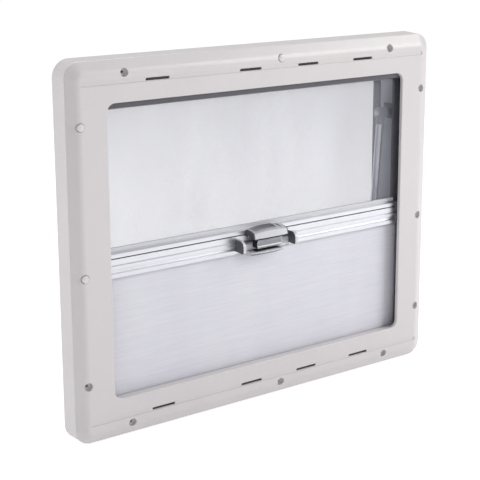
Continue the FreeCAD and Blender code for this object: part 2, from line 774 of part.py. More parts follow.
def guide_rail(side, name):
    """Upright channel beside the opening that the end bars and the fabrics run in."""
    body = new_body(name)
    flat = sketch(body, name + "_outline", "XY_Plane", RAIL_LOW)
    near, far = f"({side} * {RAIL_X})", f"({side} * ({RAIL_X} + rail_width))"
    deep = f"({side} * ({RAIL_X} + channel_deep))"
    corners = [
        (near, f"-{RAIL_FRONT}"),
        (far, f"-{RAIL_FRONT}"),
        (far, "-rail_back"),
        (near, "-rail_back"),
        (near, "-channel_back"),
        (deep, "-channel_back"),
        (deep, "-channel_front"),
        (near, "-channel_front"),
    ]
    polygon(flat, corners)
    pad(body, flat, f"{RAIL_TOP} - ({RAIL_LOW})")
    return body


def guide_pile():
    """Brush strips on the front lips of the two guide rails."""
    strips = []
    for side in (-1, 1):
        ends = [f"{side} * ({RAIL_X} - pile_proud)", f"{side} * {RAIL_X}"][::side]
        depth = (f"-({RAIL_FRONT} - 1)", "-(channel_front + 1)")
        strips.append(box(f"pile_{side + 1}", ends, depth, (RAIL_LOW, RAIL_TOP)))
    return group("guide_pile", strips)


def cassette(side, name):
    """Housing above or below the opening: a box profile with a slot for the fabric."""
    flip = f"{side} * "
    whole = extrusion_x(
        name + "_shell",
        cassette_corners(side, "0"),
        f"({CASSETTE_X} - cassette_cap)",
    )
    hollow = extrusion_x(name + "_hollow", cassette_corners(side, "cassette_wall"), CASSETTE_X)
    near = f"{flip}({CASSETTE_Z[side]} - 1)"
    inside = f"{flip}({CASSETTE_Z[side]} + cassette_wall + 1)"
    edges = ("fabric_plane + fabric_slot / 2", "fabric_plane - fabric_slot / 2")
    slot = extrusion_x(name + "_slot", rectangle_yz(*edges, near, inside), CASSETTE_X)
    return cut(name, whole, hollow, slot)


def cassette_corners(side, inset):
    low = f"{side} * ({CASSETTE_Z[side]} + {inset})"
    high = f"{side} * ({CASSETTE_Z[side]} + cassette_height - {inset})"
    return rectangle_yz(f"{CASSETTE_FRONT} - {inset}", f"cassette_back + {inset}", low, high)


def cassette_caps(side, name):
    """End caps that close a cassette and carry the roller's axle."""
    caps = []
    for end in (-1, 1):
        centre = f"{end} * ({CASSETTE_X} - cassette_cap / 2)"
        cap = extrusion_x(f"{name}_{end + 1}", cassette_corners(side, "0"), "cassette_cap / 2", centre)
        start = (f"{centre} - cassette_cap", f"-{ROLLER_V}", f"{side} * {ROLLER_Z[side]}")
        radius = "axle_radius + axle_clearance"
        bore = rod(f"{name}_bore_{end + 1}", "X", radius, "2 * cassette_cap", start)
        caps.append(cut(f"{name}_cap_{end + 1}", cap, bore))
    return group(name, caps)


def roller(side, prefix):
    """Roller tube, the fabric wound on it and its two end plugs with axles."""
    y, z = f"-{ROLLER_V}", f"{side} * {ROLLER_Z[side]}"
    start, length = (f"-{ROLLER_X}", y, z), f"2 * {ROLLER_X}"
    outside = rod(prefix + "_tube_outside", "X", "tube_radius", length, start)
    bore = rod(prefix + "_tube_bore", "X", "tube_radius - tube_wall", length, start)
    tube = cut(prefix + "_roller_tube", outside, bore)
    wound_start, wound_length = (f"-{FABRIC_X}", y, z), f"2 * {FABRIC_X}"
    roll = rod(prefix + "_roll_outside", "X", "wound_radius", wound_length, wound_start)
    core = rod(prefix + "_roll_core", "X", "tube_radius", wound_length, wound_start)
    wound = cut(prefix + "_wound", roll, core)
    plugs = []
    for end in (-1, 1):
        plug = [
            ("0", "-plug_depth"),
            ("tube_radius - tube_wall", "-plug_depth"),
            ("tube_radius - tube_wall", "0"),
            ("tube_radius", "0"),
            ("tube_radius", "2"),
            ("axle_radius", "2"),
            ("axle_radius", "roller_end_gap + cassette_cap - 0.5"),
            ("0", "roller_end_gap + cassette_cap - 0.5"),
        ]
        place = (f"{end} * {ROLLER_X}", y, z)
        plugs.append(turned(f"{prefix}_plug_{end + 1}", plug, place, ((0, 1, 0), 90 * end)))
    return [tube, wound, group(prefix + "_roller_plugs", plugs)]


def fabric(name, thickness, low, high):
    half = f"({thickness}) / 2"
    depth = (f"-(fabric_plane + {half})", f"-(fabric_plane - {half})")
    return box(name, (f"-{FABRIC_X}", FABRIC_X), depth, (low, high))


# ---------------------------------------------------------------- end bars


def screen_bar():
    """End bar of the fly screen: an extrusion with a slot line along its front."""
    top, low = "screen_bar_top", SCREEN_BAR_BOTTOM
    slot_top = "screen_bar_top - screen_slot_below_top"
    slot_low = f"{slot_top} - screen_slot_width"
    corners = [
        ("-bar_front", low),
        ("-bar_back", low),
        ("-bar_back", top),
        ("-bar_front + 2.5", top),
        ("-bar_front", f"{top} - 2.5"),
        ("-bar_front", slot_top),
        ("-bar_front + screen_slot_deep", slot_top),
        ("-bar_front + screen_slot_deep", slot_low),
        ("-bar_front", slot_low),
    ]
    return extrusion_x("screen_bar", corners, BAR_X)


def screen_welt():
    """Strip that clamps the mesh along the top of the screen bar."""
    corners = rectangle_yz(
        "fabric_plane + 3", "fabric_plane + mesh_thickness", "screen_bar_top", "screen_bar_top + welt_height"
    )
    return extrusion_x("screen_welt", corners, f"{BAR_X} - 1")


def blind_bar():
    corners = rectangle_yz(BLIND_BAR_FRONT, "bar_back", BLIND_BAR_BOTTOM, BLIND_BAR_TOP)
    return extrusion_x("blind_bar", corners, BAR_X)


def front_rail(side, name):
    """Grip rail on the blind bar: two raised ridges along its front with a hollow between."""
    ridge, deep = "rail_ridge", "rail_ridge_deep"
    top, low = BLIND_BAR_TOP, BLIND_BAR_BOTTOM
    back, front = f"-{BLIND_BAR_FRONT}", "-bar_front"
    middle = f"({BLIND_BAR_BOTTOM} + 1.45 * {ridge})"
    corners = [
        (back, low),
        (back, top),
        (f"{front} + 1.5", top),
        (front, f"{top} - 1.5"),
        (front, f"{top} - {ridge}"),
        (f"{front} + {deep}", f"{top} - {ridge} - 1"),
        (f"{front} + {deep}", f"{middle} + 1"),
        (f"{front} + {deep} + 1", middle),
        (f"{front} + {deep}", f"{middle} - 1"),
        (front, f"{middle} - 2"),
        (front, f"{low} + 1.5"),
        (f"{front} + 1.5", low),
    ]
    inner, outer = "(front_rail_end)", f"({BAR_X} - 3)"
    centre = f"{side} * ({inner} + {outer}) / 2"
    return extrusion_x(name, corners, f"({outer} - {inner}) / 2", centre)


def end_guides(name, top, bottom):
    """Plastic shoes on both ends of a bar, running in the guide rails' channels."""
    shoes = []
    for side in (-1, 1):
        ends = [f"{side} * {BAR_X}", f"{side} * ({BAR_X} + guide_length)"][::side]
        depth = ("-(channel_front - guide_front_gap)", "-(channel_back + guide_front_gap)")
        shoes.append(box(f"{name}_{side + 1}", ends, depth, (f"{bottom} + 1.5", f"{top} - 1.5")))
    return group(name, shoes)


# ---------------------------------------------------------------- latch between the two bars


def profile_x(name, points, half_length, centre="0"):
    """An extrusion along X whose outline is given as height off the wall and level."""
    corners = [(f"-({v})", z) for v, z in points]
    return extrusion_x(name, corners, half_length, centre)


def screen_grip():
    """Visor-shaped pull on the screen bar, hollow underneath for the fingers."""
    top, low = "screen_bar_top", f"({CHEEK_TOP} + 0.3)"
    points = [
        ("bar_front", f"{low} + 1"),
        ("bar_front", f"{top} + 1"),
        ("bar_front + 6", f"{top} + 3.2"),
        (f"{GRIP_FRONT} - 8", f"{top} + 1.6"),
        (f"{GRIP_FRONT} - 2.5", f"{top} - 3.2"),
        (GRIP_FRONT, f"{low} + 1.2"),
        (f"{GRIP_FRONT} - 1.5", low),
        (f"{GRIP_FRONT} - 7", low),
        (f"{GRIP_FRONT} - 9", f"{low} + 4"),
        ("bar_front + 4", f"{low} + 4"),
        ("bar_front + 4", f"{low} + 1"),
    ]
    return profile_x("screen_grip", points, "grip_half_length")


def grip_side_plates():
    """Dark plates that close both ends of the grip."""
    top, low = "screen_bar_top", f"({CHEEK_TOP} + 0.3)"
    points = [
        ("bar_front + 0.3", f"{low} + 0.6"),
        ("bar_front + 0.3", f"{top} + 0.4"),
        ("bar_front + 6", f"{top} + 2.4"),
        (f"{GRIP_FRONT} - 8.4", f"{top} + 0.8"),
        (f"{GRIP_FRONT} - 3.3", f"{top} - 3.8"),
        (f"{GRIP_FRONT} - 1", f"{low} + 1.2"),
        (f"{GRIP_FRONT} - 2", f"{low} + 0.4"),
    ]
    plates = [
        profile_x(f"grip_plate_{side + 1}", points, "0.8", f"{side} * (grip_half_length + 0.8)")
        for side in (-1, 1)
    ]
    return group("grip_side_plates", plates)


def latch_cheeks():
    """D-shaped end plates where the front rail stops on both sides of the latch."""
    plates = []
    for side in (-1, 1):
        points = [
            (BLIND_BAR_FRONT, CHEEK_BOTTOM),
            (BLIND_BAR_FRONT, f"{BLIND_BAR_TOP} - 0.2"),
            ("bar_front + 0.4", f"{BLIND_BAR_TOP} - 0.2"),
            ("bar_front + 0.4", CHEEK_TOP),
            (CHEEK_FRONT, CHEEK_TOP),
            (CHEEK_FRONT, CHEEK_BOTTOM),
        ]
        centre = f"{side} * (front_rail_end - cheek_thickness / 2)"
        plate = profile_x(f"cheek_{side + 1}", points, "cheek_thickness / 2", centre)
        front, high, low = -value(CHEEK_FRONT), value(CHEEK_TOP), value(CHEEK_BOTTOM)

        def corner_at(edge, level):
            far = edge.BoundBox
            return along_x(edge) and abs(far.YMin - front) < 0.01 and abs(far.ZMin - level) < 0.01

        round_edges(plate, "crown", "cheek_height * 0.5", lambda e: corner_at(e, high))
        round_edges(plate, "chin", "cheek_height * 0.2", lambda e: corner_at(e, low))
        plates.append(plate)
    return group("latch_cheeks", plates)


def latch_housing():
    """Moulded block on the blind bar between the cheeks."""
    half = "(front_rail_end - cheek_thickness)"
    points = [
        (BLIND_BAR_FRONT, f"{CHEEK_BOTTOM} - 0.5"),
        (BLIND_BAR_FRONT, HOUSING_TOP),
        (f"{HOUSING_FRONT} - 1.5", HOUSING_TOP),
        (HOUSING_FRONT, f"{HOUSING_TOP} - 1.5"),
        (HOUSING_FRONT, f"{CHEEK_BOTTOM} - 0.5"),
    ]
    return profile_x("latch_housing", points, half)


def latch_lever():
    """Sprung finger plate that frees the blind bar from the screen bar."""
    top, low = f"({CHEEK_TOP} - 1.4)", f"({CHEEK_BOTTOM} + 2.8)"
    points = [
        (f"{HOUSING_FRONT} + 1", f"{low} + 1"),
        (f"{HOUSING_FRONT} + 1", f"{top} - 2"),
        (f"{LEVER_FRONT} - 1.5", top),
        (LEVER_FRONT, f"{top} - 1.3"),
        (f"{LEVER_FRONT} - 1.6", f"({top} + {low}) / 2"),
        (f"{LEVER_FRONT} - 0.4", f"{low} + 1.3"),
        (f"{LEVER_FRONT} - 2", low),
    ]
    return profile_x("latch_lever", points, "lever_half_length")


def blind_flap():
    """Curved finger lip under the lever, for pulling the blind down."""
    top = f"({CHEEK_BOTTOM} - 0.5)"
    points = [
        (BLIND_BAR_FRONT, top),
        (FLAP_FRONT, f"{top} - 0.2"),
        (f"{FLAP_FRONT} + 0.5", f"{top} - 2"),
        (f"{FLAP_FRONT} - 3", f"{top} - 6"),
        (f"{FLAP_FRONT} - 10", f"{top} - 9"),
        (BLIND_BAR_FRONT, f"{top} - 9"),
    ]
    return profile_x("blind_flap", points, "grip_half_length")


# ---------------------------------------------------------------- stays


def lean(piece, place):
    """Tilt a piece so that its own Z runs up the stay, and put its start at a place."""
    piece.Placement = FreeCAD.Placement(FreeCAD.Vector(), FreeCAD.Rotation(FreeCAD.Vector(1, 0, 0), 1))
    piece.setExpression("Placement.Rotation.Angle", formula(STAY_LEAN))
    bind(piece, **{f"Placement.Base.{a}": text for a, text in zip("xyz", place)})
    return piece


def stay_bar(name, radius, side, begin, finish):
    """A round bar on the stay's line between two distances below its upper pivot."""
    bar = doc.addObject("Part::Cylinder", name)
    bind(bar, Radius=radius, Height=f"({finish}) - ({begin})")
    y = f"stay_pivot_out + sin({STAY_LEAN}) * ({finish})"
    z = f"{PIVOT_Z} - cos({STAY_LEAN}) * ({finish})"
    return lean(bar, (f"{side} * {STAY_X}", y, z))


def stay(side, hand):
    """The nodes of one telescopic stay: those that swing, then those that slide out."""
    end = f"_{hand}"
    outside = stay_bar("tube_outside" + end, "stay_tube_radius", side, "stay_tube_start", TUBE_END)
    bore_radius = "stay_rod_radius + stay_rod_clearance"
    bore = stay_bar("tube_bore" + end, bore_radius, side, "stay_tube_start - 1", f"{TUBE_END} + 1")
    tube = cut("stay_tube" + end, outside, bore)

    pivot = (f"{side} * {STAY_X} - {HEAD_HALF}", "stay_pivot_out", PIVOT_Z)
    eye = rod("head_eye" + end, "X", "stay_head_radius", f"2 * {HEAD_HALF}", pivot)
    sleeve = stay_bar("head_sleeve" + end, HEAD_RADIUS, side, "0", "stay_tube_start + 8")
    seat = stay_bar("head_seat" + end, "stay_tube_radius", side, "stay_tube_start", TUBE_END)
    hole_start = (f"{side} * {STAY_X} - 2 * {HEAD_RADIUS}", *pivot[1:])
    hole_radius = "stay_pin_radius + stay_pin_clearance"
    hole = rod("head_hole" + end, "X", hole_radius, f"4 * {HEAD_RADIUS}", hole_start)
    head = cut("stay_head" + end, fuse("head_whole" + end, eye, sleeve), seat, hole)

    ring = stay_bar("collar_ring" + end, "collar_radius", side, f"{TUBE_END} - collar_length", TUBE_END)
    ring_seat = stay_bar("collar_seat" + end, "stay_tube_radius", side, "0", f"{TUBE_END} + 1")
    collar = cut("stay_collar" + end, ring, ring_seat)

    rod_end = f"({STAY_LENGTH} - 10)"
    inner = stay_bar("stay_rod" + end, "stay_rod_radius", side, f"{rod_end} - stay_rod_share * {STAY_LENGTH}", rod_end)
    foot_start = (f"{side} * {STAY_X} - {FOOT_HALF}", "stay_foot_out", FOOT_Z)
    foot_eye = rod("foot_eye" + end, "X", "stay_foot_radius", f"2 * {FOOT_HALF}", foot_start)
    neck = stay_bar("foot_neck" + end, NECK_RADIUS, side, f"{STAY_LENGTH} - 26", STAY_LENGTH)
    neck_seat = stay_bar("foot_seat" + end, "stay_rod_radius", side, "100", rod_end)
    foot = cut("stay_foot" + end, fuse("foot_whole" + end, foot_eye, neck), neck_seat)
    return [tube, head, collar, inner, foot]


def stay_frame_brackets():
    """Brackets on the outer frame's reveal that carry the stays' upper pins."""
    brackets = []
    for side in (-1, 1):
        near = f"({STAY_X} + {HEAD_HALF} + stay_side_gap)"
        x = [f"{side} * {near}", f"{side} * {CLEAR_X}"][::side]
        start = (x[0], "stay_pivot_out", PIVOT_Z)
        arm = rod(f"bracket_arm_{side + 1}", "X", "stay_head_radius - 1", f"({x[1]}) - ({x[0]})", start)
        plate_x = [f"{side} * ({CLEAR_X} - 3)", f"{side} * {CLEAR_X}"][::side]
        half = "stay_bracket_width / 2"
        levels = (f"{PIVOT_Z} - {half}", f"{PIVOT_Z} + {half}")
        plate = box(f"bracket_plate_{side + 1}", plate_x, ("spigot_gap", "spigot_gap + 22"), levels)
        whole = fuse(f"bracket_{side + 1}", arm, plate)
        bore = rod(f"bracket_bore_{side + 1}", "X", "stay_pin_radius", f"({x[1]}) - ({x[0]})", start)
        brackets.append(cut(f"stay_bracket_{side + 1}", whole, bore))
    return group("stay_frame_brackets", brackets)


def stay_pivot_pins():
    """Headed pins through the stays' upper eyes."""
    pins = []
    reach = f"{CLEAR_X} - {STAY_X} + {HEAD_HALF}"
    for side in (-1, 1):
        profile = [
            ("0", "0"),
            ("stay_pin_radius", "0"),
            ("stay_pin_radius", f"{reach} + 0.3"),
            ("stay_pin_radius + 1.8", f"{reach} + 0.3"),
            ("stay_pin_radius + 1.2", f"{reach} + 1.8"),
            ("0", f"{reach} + 2.2"),
        ]
        place = (f"{side} * {CLEAR_X}", "stay_pivot_out", PIVOT_Z)
        pins.append(turned(f"pivot_pin_{side + 1}", profile, place, ((0, 1, 0), -90 * side)))
    return group("stay_pivot_pins", pins)


def stay_sash_lugs():
    """Lugs on the inner sheet, one beside each stay's lower eye."""
    lugs = []
    for side in (-1, 1):
        near = f"({STAY_X} + {FOOT_HALF} + stay_side_gap)"
        ear_x = [f"{side} * {near}", f"{side} * ({near} + 4)"][::side]
        levels = (f"{FOOT_Z} - stay_foot_radius", f"{FOOT_Z} + stay_foot_radius")
        ear = box(f"lug_ear_{side + 1}", ear_x, ("stay_foot_out - 6", SASH_IN), levels)
        base_x = [f"{side} * {near}", f"{side} * ({near} + 15)"][::side]
        base_z = (f"{FOOT_Z} - 15", f"{FOOT_Z} + 15")
        base = box(f"lug_base_{side + 1}", base_x, (f"{SASH_IN} - 3", SASH_IN), base_z)
        lugs.append(fuse(f"lug_{side + 1}", ear, base))
    return group("stay_sash_lugs", lugs)


# ---------------------------------------------------------------- sash catches


def catch_bases():
    bases = []
    for side in (-1, 1):
        half = "catch_base_width / 2"
        x = (f"{side} * {CATCH_X} - {half}", f"{side} * {CATCH_X} + {half}")
        z = (f"{CATCH_Z} - catch_base_height / 2", f"{CATCH_Z} + catch_base_height / 2")
        block = box(f"catch_block_{side + 1}", x, (f"{SASH_IN} - catch_base_thickness", SASH_IN), z)
        start = (f"{side} * {CATCH_X}", f"{SASH_IN} - 2 * catch_base_thickness", CATCH_Z)
        radius = "catch_spindle_radius + catch_clearance"
        bore = rod(f"catch_bore_{side + 1}", "Y", radius, "3 * catch_base_thickness", start)
        bases.append(cut(f"catch_base_{side + 1}", block, bore))
    return group("catch_bases", bases)


def catch_lever(side, name):
    """Quarter-turn lever with its spindle; at rest it lies level and points to the middle."""
    centre = f"{side} * {CATCH_X}"
    reach = [f"{centre} + catch_lever_width / 2", f"{centre} - catch_lever_length"]
    if side < 0:
        reach = [f"{centre} - catch_lever_width / 2", f"{centre} + catch_lever_length"]
    x = reach[::-1] if side > 0 else reach
    y = ("catch_lever_back - catch_lever_thickness", "catch_lever_back")
    z = (f"{CATCH_Z} - catch_lever_width / 2", f"{CATCH_Z} + catch_lever_width / 2")
    arm = box(name + "_arm", x, y, z)
    start = (centre, "catch_lever_back - 1", CATCH_Z)
    length = f"{SASH_IN} - 0.3 - (catch_lever_back - 1)"
    spindle = rod(name + "_spindle", "Y", "catch_spindle_radius", length, start)
    return fuse(name, arm, spindle)


def catch_keepers():
    keepers = []
    for side in (-1, 1):
        half = "keeper_width / 2"
        x = (f"{side} * {CATCH_X} - {half}", f"{side} * {CATCH_X} + {half}")
        near = "catch_lever_back + keeper_gap"
        y = (near, f"{near} + keeper_thickness")
        z = (f"-{CLEAR_BOTTOM}", f"-{CLEAR_BOTTOM} + keeper_height")
        keepers.append(box(f"keeper_{side + 1}", x, y, z))
    return group("catch_keepers", keepers)


# ---------------------------------------------------------------- assembly of nodes

NODES = []


def keep(*pieces):
    for piece in pieces:
        NODES.append(piece)


keep(inner_frame(), screw_caps(), frame_screws())
keep(outer_frame(), wall_seal(), sash_gasket(), hinge_rail())
keep(pane_inner(), pane_outer(), pane_spacer(), sash_hinge_profile())
keep(guide_rail(-1, "guide_rail_left"), guide_rail(1, "guide_rail_right"), guide_pile())
keep(cassette(1, "screen_cassette"), cassette(-1, "blind_cassette"))
keep(cassette_caps(1, "screen_cassette_caps"), cassette_caps(-1, "blind_cassette_caps"))
keep(*roller(1, "screen"), *roller(-1, "blind"))
keep(fabric("screen_mesh", "mesh_thickness", "screen_bar_top", SCREEN_END))
keep(fabric("blind_fabric", "blind_thickness", BLIND_END, BLIND_BAR_BOTTOM))
keep(screen_bar(), screen_welt(), end_guides("screen_bar_guides", "screen_bar_top", SCREEN_BAR_BOTTOM))
keep(blind_bar(), front_rail(-1, "front_rail_left"), front_rail(1, "front_rail_right"))
keep(end_guides("blind_bar_guides", BLIND_BAR_TOP, BLIND_BAR_BOTTOM))
keep(screen_grip(), grip_side_plates(), latch_cheeks(), latch_housing(), latch_lever(), blind_flap())
keep(*stay(-1, "left"), *stay(1, "right"))
keep(stay_frame_brackets(), stay_pivot_pins(), stay_sash_lugs())
keep(catch_bases(), catch_lever(-1, "catch_lever_left"), catch_lever(1, "catch_lever_right"))
keep(catch_keepers())
doc.recompute()

os.makedirs("parts", exist_ok=True)
for item in doc.Objects:
    if "Invalid" in item.State or "Error" in item.State:
        raise RuntimeError(f"{item.Name} ({item.Label}) failed: {item.State}")
for piece in NODES:
    if piece.Shape.isNull() or not piece.Shape.isValid():
        raise RuntimeError(f"{piece.Label} has no valid shape")
    piece.Shape.exportStep(f"parts/{piece.Label}.step")
print(len(NODES), "nodes")
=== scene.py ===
import math

import bmesh
import bpy
from mathutils import Matrix, Vector


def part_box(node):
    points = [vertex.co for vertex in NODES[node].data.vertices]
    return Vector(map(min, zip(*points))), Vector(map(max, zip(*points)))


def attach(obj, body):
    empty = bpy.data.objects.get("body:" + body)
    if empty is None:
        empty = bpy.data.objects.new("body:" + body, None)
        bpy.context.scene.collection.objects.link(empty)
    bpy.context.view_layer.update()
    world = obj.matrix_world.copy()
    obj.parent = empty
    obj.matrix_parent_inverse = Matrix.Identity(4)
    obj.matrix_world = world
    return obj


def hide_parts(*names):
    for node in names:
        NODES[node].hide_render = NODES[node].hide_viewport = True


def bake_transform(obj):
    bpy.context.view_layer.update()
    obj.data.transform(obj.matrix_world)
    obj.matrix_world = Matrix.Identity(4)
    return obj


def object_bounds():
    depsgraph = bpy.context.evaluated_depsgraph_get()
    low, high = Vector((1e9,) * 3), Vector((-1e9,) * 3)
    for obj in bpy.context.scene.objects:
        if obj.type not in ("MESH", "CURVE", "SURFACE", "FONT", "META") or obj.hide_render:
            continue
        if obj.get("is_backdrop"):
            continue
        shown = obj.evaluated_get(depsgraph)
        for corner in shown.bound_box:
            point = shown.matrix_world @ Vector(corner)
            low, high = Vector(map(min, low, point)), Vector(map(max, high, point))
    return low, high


# Top-hung window with a fly screen and a roller blind. Metres; X runs along the window, Z is up
# and -Y points into the room.

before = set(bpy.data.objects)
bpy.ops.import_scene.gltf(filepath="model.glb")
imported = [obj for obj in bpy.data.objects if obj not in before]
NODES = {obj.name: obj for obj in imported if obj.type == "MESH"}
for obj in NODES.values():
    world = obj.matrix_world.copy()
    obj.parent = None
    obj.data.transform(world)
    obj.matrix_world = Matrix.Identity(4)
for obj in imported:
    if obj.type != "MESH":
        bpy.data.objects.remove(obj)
CAD_LOW, CAD_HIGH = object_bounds()
MM = 0.001
MESH_PITCH, MESH_THREAD = 0.95 * MM, 0.22 * MM
BLIND_THICKNESS = 0.4 * MM

# ---------------------------------------------------------------- finishes


def srgb(red, green, blue):
    """A colour chip's 0-255 values as scene-linear light."""

    def channel(level):
        share = level / 255
        return share / 12.92 if share <= 0.04045 else ((share + 0.055) / 1.055) ** 2.4

    return (channel(red), channel(green), channel(blue), 1.0)


def scaled(colour, factor):
    return (*(min(1.0, part * factor) for part in colour[:3]), 1.0)


class Finish:
    """A material under construction: a Principled shader and the nodes that feed it."""

    def __init__(self, name, **sockets):
        self.material = bpy.data.materials.new(name)
        self.material.use_nodes = True
        self.tree = self.material.node_tree
        self.shader = self.tree.nodes["Principled BSDF"]
        for socket, amount in sockets.items():
            self.shader.inputs[socket.replace("_", " ")].default_value = amount
        self.place = self.node("ShaderNodeTexCoord").outputs["Object"]

    def node(self, kind, links=None, **settings):
        made = self.tree.nodes.new(kind)
        for setting, amount in settings.items():
            setattr(made, setting, amount)
        for socket, source in (links or {}).items():
            if isinstance(source, bpy.types.NodeSocket):
                self.tree.links.new(source, made.inputs[socket])
            else:
                made.inputs[socket].default_value = source
        return made

    def stretched(self, stretch):
        return self.node(
            "ShaderNodeMapping", {"Vector": self.place, "Scale": stretch}
        ).outputs["Vector"]

    def noise(self, scale, detail=3.0, rough=0.55, stretch=(1, 1, 1)):
        links = {
            "Vector": self.stretched(stretch),
            "Scale": scale,
            "Detail": detail,
            "Roughness": rough,
        }
        return self.node("ShaderNodeTexNoise", links).outputs["Fac"]

    def between(self, source, low, high, start=0.3, finish=0.7):
        """The source's middle range, spread from one number to another."""
        links = {
            "Value": source,
            "From Min": start,
            "From Max": finish,
            "To Min": low,
            "To Max": high,
        }
        return self.node("ShaderNodeMapRange", links).outputs["Result"]

    def math(self, operation, first, second=0.0):
        links = {0: first, 1: second}
        return self.node("ShaderNodeMath", links, operation=operation).outputs["Value"]

    def blend(self, share, first, second):
        made = self.node("ShaderNodeMix", data_type="RGBA")
        for index, source in ((0, share), (6, first), (7, second)):
            if isinstance(source, bpy.types.NodeSocket):
                self.tree.links.new(source, made.inputs[index])
            else:
                made.inputs[index].default_value = source
        return made.outputs[2]

    def colour(self, source):
        self.tree.links.new(source, self.shader.inputs["Base Color"])

    def roughness(self, source):
        self.tree.links.new(source, self.shader.inputs["Roughness"])

    def bump(self, *heights):
        """Stack bumps, each a height source and its depth in metres."""
        normal = None
        for source, depth in heights:
            links = {"Height": source, "Distance": depth, "Strength": 1.0}
            if normal is not None:
                links["Normal"] = normal
            normal = self.node("ShaderNodeBump", links).outputs["Normal"]
        self.tree.links.new(normal, self.shader.inputs["Normal"])


def moulded(name, chip, gloss, grain, depth, cloud=0.03, **sockets):
    """Injection-moulded plastic: faint clouding, a fine grain and an uneven satin."""
    made = Finish(name, **sockets)
    clouds = made.noise(9, 4)
    speck = made.noise(grain * 0.35, 2)
    shade = made.blend(
        made.between(clouds, 0, 1), scaled(chip, 1 - cloud), scaled(chip, 1 + cloud)
    )
    fleck = made.between(speck, 0, 0.5, 0.52, 0.75)
    made.colour(made.blend(fleck, shade, scaled(chip, 1 - 1.6 * cloud)))
    made.roughness(made.between(made.noise(60, 4), gloss - 0.06, gloss + 0.06))
    made.bump((made.noise(grain, 2), depth), (made.noise(grain * 0.12, 3), depth * 0.6))
    return made.material


def drawn_metal(name, chip, gloss, stretch, depth, wear=0.05, **sockets):
    """Drawn or brushed metal with fine lines along one direction."""
    made = Finish(name, Metallic=1.0, **sockets)
    lines = made.noise(900, 4, 0.7, stretch)
    broad = made.noise(160, 3, 0.6, stretch)
    handling = made.noise(22, 5)
    shade = made.blend(
        made.between(lines, 0, 1), scaled(chip, 1 - wear), scaled(chip, 1 + wear)
    )
    made.colour(
        made.blend(made.between(handling, 0, 0.35, 0.45, 0.8), shade, scaled(chip, 0.86))
    )
    made.roughness(made.between(broad, gloss - 0.07, gloss + 0.09))
    made.bump((lines, depth), (broad, depth * 0.8))
    return made.material


def rubber(name, chip, gloss=0.7):
    made = Finish(name, Specular_IOR_Level=0.35)
    dust = made.between(made.noise(140, 5), 0, 0.5, 0.5, 0.85)
    made.colour(made.blend(dust, chip, scaled(chip, 1.9)))
    made.roughness(made.between(made.noise(45, 4), gloss - 0.1, gloss + 0.1))
    made.bump((made.noise(1500, 3), 0.00004), (made.noise(260, 3), 0.00005))
    return made.material


def clear_acrylic():
    """Cast acrylic sheet: nearly clear, glossy, with faint polish haze."""
    made = Finish("clear_acrylic", Base_Color=srgb(206, 210, 222), IOR=1.49)
    haze = made.noise(14, 5, 0.6, (1, 1, 0.25))
    made.roughness(made.between(haze, 0.02, 0.09))
    rim = made.node("ShaderNodeFresnel", {"IOR": 1.3}).outputs["Fac"]
    body = made.between(haze, 0.05, 0.085)
    cover = made.node("ShaderNodeMath", {0: body, 1: rim}, operation="ADD", use_clamp=True)
    made.tree.links.new(cover.outputs["Value"], made.shader.inputs["Alpha"])
    made.colour(made.blend(made.between(haze, 0, 1), srgb(198, 203, 217), srgb(214, 217, 228)))
    made.bump((made.noise(5, 2), 0.0001))
    return made.material


def threads(made, axis, pitch, width):
    """1 on the threads that cross an axis at a pitch, 0 between them."""
    parts = made.node("ShaderNodeSeparateXYZ", {"Vector": made.place}).outputs
    along = made.math("DIVIDE", parts[axis], pitch)
    ripple = made.math("PINGPONG", along, 0.5)
    links = {
        "Value": ripple,
        "From Min": width / pitch / 2 - 0.05,
        "From Max": width / pitch / 2 + 0.05,
        "To Min": 1.0,
        "To Max": 0.0,
    }
    return made.node("ShaderNodeMapRange", links).outputs["Result"]


def fly_mesh():
    """Open fly mesh: two sets of fine threads with gaps between them."""
    made = Finish("fly_mesh", Roughness=0.7, Sheen_Weight=0.2)
    across = threads(made, "X", MESH_PITCH, MESH_THREAD)
    upright = threads(made, "Z", MESH_PITCH, MESH_THREAD)
    cover = made.math("MAXIMUM", across, upright)
    tone = made.between(made.noise(9, 2, 0.5, (1.5, 1, 0.08)), 0, 1)
    made.colour(made.blend(tone, srgb(176, 175, 186), srgb(186, 185, 196)))
    made.tree.links.new(cover, made.shader.inputs["Alpha"])
    made.bump((made.math("ADD", across, upright), 0.0001))
    return made.material


def blind_cloth():
    """Coated blind cloth with faint cross lines and slow cloudy variation."""
    made = Finish("blind_cloth", Sheen_Weight=0.15)
    lines = made.noise(700, 2, 0.5, (0.02, 1, 1))
    ribs = threads(made, "Z", 1.6 * MM, 0.5 * MM)
    warp = threads(made, "X", 0.8 * MM, 0.3 * MM)
    cloud = made.noise(7, 3, 0.5, (1.6, 1, 0.5))
    shade = made.blend(made.between(cloud, 0, 1), srgb(236, 235, 243), srgb(243, 242, 248))
    shade = made.blend(made.between(lines, 0, 0.22), shade, srgb(203, 202, 214))
    made.colour(made.blend(made.math("MULTIPLY", ribs, 0.10), shade, srgb(196, 196, 208)))
    made.roughness(made.between(cloud, 0.52, 0.66))
    made.bump((made.math("ADD", ribs, warp), 0.00006), (lines, 0.00004))
    return made.material


def brush_pile():
    made = Finish("brush_pile", Roughness=0.9, Sheen_Weight=0.3)
    hairs = made.noise(1400, 3, 0.6, (1, 0.08, 1))
    made.colour(made.blend(made.between(hairs, 0, 1), srgb(28, 28, 31), srgb(74, 74, 79)))
    made.bump((hairs, 0.0002))
    return made.material


